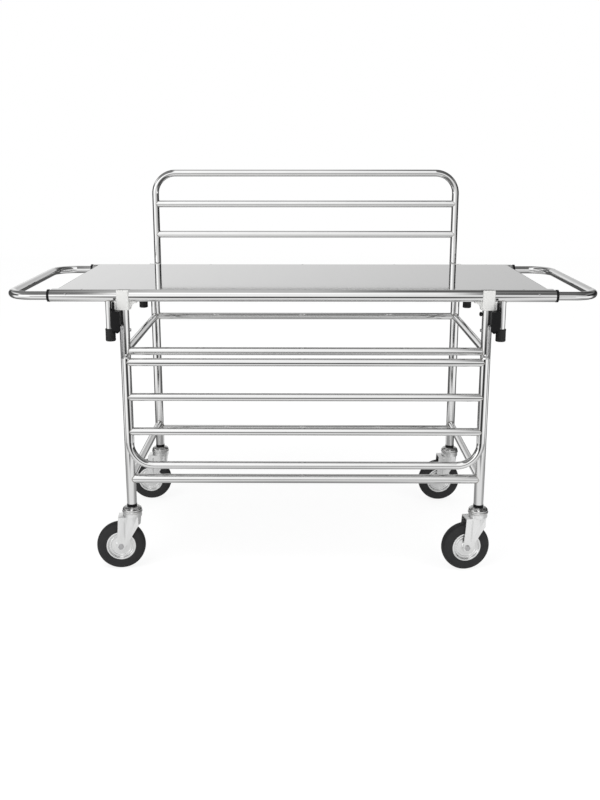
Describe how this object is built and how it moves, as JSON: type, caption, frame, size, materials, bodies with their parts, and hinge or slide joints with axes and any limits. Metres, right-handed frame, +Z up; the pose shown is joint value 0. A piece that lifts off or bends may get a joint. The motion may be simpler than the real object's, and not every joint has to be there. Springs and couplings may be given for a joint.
{
  "type": "stretcher trolley",
  "caption": "Tubular steel trolley on swivel castors with a lift-off stretcher, sliding end handles and a swinging side rail on each long side",
  "frame": {"origin": "on the floor, under the centre of the whole trolley's box", "axes": "+X along the trolley to the right-hand end, +Y across it to the far side, +Z up"},
  "size_m": [1.876, 0.768, 1.2785],
  "materials": {
    "polished_tube": "mirror-polished stainless tube",
    "polished_sheet": "polished stainless sheet",
    "fastener_steel": "bright fastener steel",
    "castor_chrome": "bright plated steel",
    "zinc_steel": "bright zinc-plated pressing",
    "white_plastic": "satin moulded plastic",
    "black_plastic": "moulded nylon",
    "black_rubber": "soft cap",
    "tyre_rubber": "solid rubber tread"
  },
  "bodies": {
    "trolley_frame": {"leg_near_left": "polished_tube", "leg_near_right": "polished_tube", "leg_far_left": "polished_tube", "leg_far_right": "polished_tube", "upper_bars": "polished_tube", "upper_cross_tubes": "polished_tube", "lower_bars": "polished_tube", "lower_cross_tubes": "polished_tube", "saddle_near_left": "white_plastic", "saddle_near_right": "white_plastic", "saddle_far_left": "white_plastic", "saddle_far_right": "white_plastic", "hinge_block_near_left": "black_plastic", "hinge_block_near_right": "black_plastic", "hinge_block_far_left": "black_plastic", "hinge_block_far_right": "black_plastic", "hinge_pins": "fastener_steel", "clamp_bolts": "fastener_steel", "leg_plugs": "black_plastic", "castor_heads": "castor_chrome"},
    "stretcher": {"side_tube_near": "polished_tube", "side_tube_far": "polished_tube", "deck_sheet": "polished_sheet", "deck_cross_tubes": "polished_tube", "stretcher_feet": "polished_tube", "foot_caps": "black_rubber", "tube_end_rings": "black_plastic"},
    "handle_left": {"handle_left": "polished_tube"},
    "handle_right": {"handle_right": "polished_tube"},
    "near_rail": {"near_rail_hoop": "polished_tube", "near_rail_bars": "polished_tube", "near_rail_arms": "fastener_steel"},
    "far_rail": {"far_rail_hoop": "polished_tube", "far_rail_bars": "polished_tube", "far_rail_arms": "fastener_steel"},
    "latch_plunger_near": {"latch_plunger_near": "black_plastic"},
    "latch_plunger_far": {"latch_plunger_far": "black_plastic"},
    "button_near_left": {"lock_button_near_left": "fastener_steel"},
    "button_near_right": {"lock_button_near_right": "fastener_steel"},
    "button_far_left": {"lock_button_far_left": "fastener_steel"},
    "button_far_right": {"lock_button_far_right": "fastener_steel"},
    "castor_near_left": {"fork_near_left": "zinc_steel", "axle_near_left": "fastener_steel"},
    "wheel_near_left": {"rim_near_left": "zinc_steel", "tyre_near_left": "tyre_rubber"},
    "castor_near_right": {"fork_near_right": "zinc_steel", "axle_near_right": "fastener_steel"},
    "wheel_near_right": {"rim_near_right": "zinc_steel", "tyre_near_right": "tyre_rubber"},
    "castor_far_left": {"fork_far_left": "zinc_steel", "axle_far_left": "fastener_steel"},
    "wheel_far_left": {"rim_far_left": "zinc_steel", "tyre_far_left": "tyre_rubber"},
    "castor_far_right": {"fork_far_right": "zinc_steel", "axle_far_right": "fastener_steel"},
    "wheel_far_right": {"rim_far_right": "zinc_steel", "tyre_far_right": "tyre_rubber"}
  },
  "joints": [
    {"name": "stretcher_lift", "type": "slide", "parent": "trolley_frame", "child": "stretcher", "axis": [0, 0, 1], "range_m": [0, 0.25]},
    {"name": "handle_left_slide", "type": "slide", "parent": "stretcher", "child": "handle_left", "axis": [-1, 0, 0], "range_m": [0, 0.2]},
    {"name": "handle_right_slide", "type": "slide", "parent": "stretcher", "child": "handle_right", "axis": [1, 0, 0], "range_m": [0, 0.2]},
    {"name": "near_rail_hinge", "type": "hinge", "parent": "trolley_frame", "child": "near_rail", "pos_m": [0, -0.369, 0.817], "axis": [1, 0, 0], "range_deg": [-180, 0]},
    {"name": "far_rail_hinge", "type": "hinge", "parent": "trolley_frame", "child": "far_rail", "pos_m": [0, 0.369, 0.817], "axis": [1, 0, 0], "range_deg": [-180, 0]},
    {"name": "near_plunger_pull", "type": "slide", "parent": "trolley_frame", "child": "latch_plunger_near", "axis": [-1, 0, 0], "range_m": [0, 0.008], "stiffness_N_per_m": 800},
    {"name": "far_plunger_pull", "type": "slide", "parent": "trolley_frame", "child": "latch_plunger_far", "axis": [-1, 0, 0], "range_m": [0, 0.008], "stiffness_N_per_m": 800},
    {"name": "button_near_left_press", "type": "slide", "parent": "stretcher", "child": "button_near_left", "axis": [0, 0.9063, -0.4226], "range_m": [0, 0.002], "stiffness_N_per_m": 800},
    {"name": "button_near_right_press", "type": "slide", "parent": "stretcher", "child": "button_near_right", "axis": [0, 0.9063, -0.4226], "range_m": [0, 0.002], "stiffness_N_per_m": 800},
    {"name": "button_far_left_press", "type": "slide", "parent": "stretcher", "child": "button_far_left", "axis": [0, -0.9063, -0.4226], "range_m": [0, 0.002], "stiffness_N_per_m": 800},
    {"name": "button_far_right_press", "type": "slide", "parent": "stretcher", "child": "button_far_right", "axis": [0, -0.9063, -0.4226], "range_m": [0, 0.002], "stiffness_N_per_m": 800},
    {"name": "castor_near_left_swivel", "type": "hinge", "parent": "trolley_frame", "child": "castor_near_left", "pos_m": [-0.56, -0.33, 0.18], "axis": [0, 0, 1], "continuous": true},
    {"name": "wheel_near_left_spin", "type": "hinge", "parent": "castor_near_left", "child": "wheel_near_left", "pos_m": [-0.59978, -0.33418, 0.08], "axis": [-0.1045, 0.9945, 0], "continuous": true},
    {"name": "castor_near_right_swivel", "type": "hinge", "parent": "trolley_frame", "child": "castor_near_right", "pos_m": [0.58, -0.33, 0.18], "axis": [0, 0, 1], "continuous": true},
    {"name": "wheel_near_right_spin", "type": "hinge", "parent": "castor_near_right", "child": "wheel_near_right", "pos_m": [0.54061, -0.33695, 0.08], "axis": [-0.1736, 0.9848, 0], "continuous": true},
    {"name": "castor_far_left_swivel", "type": "hinge", "parent": "trolley_frame", "child": "castor_far_left", "pos_m": [-0.56, 0.33, 0.18], "axis": [0, 0, 1], "continuous": true},
    {"name": "wheel_far_left_spin", "type": "hinge", "parent": "castor_far_left", "child": "wheel_far_left", "pos_m": [-0.59998, 0.3314, 0.08], "axis": [0.0349, 0.9994, 0], "continuous": true},
    {"name": "castor_far_right_swivel", "type": "hinge", "parent": "trolley_frame", "child": "castor_far_right", "pos_m": [0.58, 0.33, 0.18], "axis": [0, 0, 1], "continuous": true},
    {"name": "wheel_far_right_spin", "type": "hinge", "parent": "castor_far_right", "child": "wheel_far_right", "pos_m": [0.5401, 0.32721, 0.08], "axis": [-0.0698, 0.9976, 0], "continuous": true}
  ]
}
